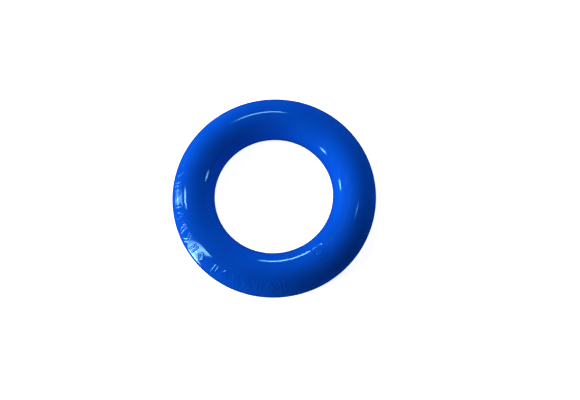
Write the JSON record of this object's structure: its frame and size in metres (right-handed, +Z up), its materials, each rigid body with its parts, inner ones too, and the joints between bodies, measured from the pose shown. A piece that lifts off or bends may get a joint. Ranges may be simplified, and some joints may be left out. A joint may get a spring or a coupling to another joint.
{
  "type": "flying ring",
  "caption": "Hollow air-filled vinyl throwing ring with a round tube, made of bonded upper and lower half shells, with raised grip marks and a push-in air plug.",
  "frame": {"origin": "centre of the ring in the plane it rests on", "axes": "+Z up along the ring's axis; the air plug is on the top side at 65 degrees clockwise from +X seen from above"},
  "size_m": [0.17, 0.17, 0.0353],
  "materials": {
    "ring_vinyl": "gloss",
    "soft_vinyl": "gloss",
    "seam_cement": "satin"
  },
  "bodies": {
    "ring": {"upper_shell": "ring_vinyl", "lower_shell": "ring_vinyl", "outer_cement_bead": "seam_cement", "inner_cement_bead": "seam_cement", "valve_seat": "soft_vinyl"},
    "plug": {"air_plug": "soft_vinyl"}
  },
  "joints": [
    {"name": "air_plug_pull", "type": "slide", "parent": "ring", "child": "plug", "axis": [-0.1165, 0.2498, 0.9613], "range_m": [0, 0.02]}
  ]
}
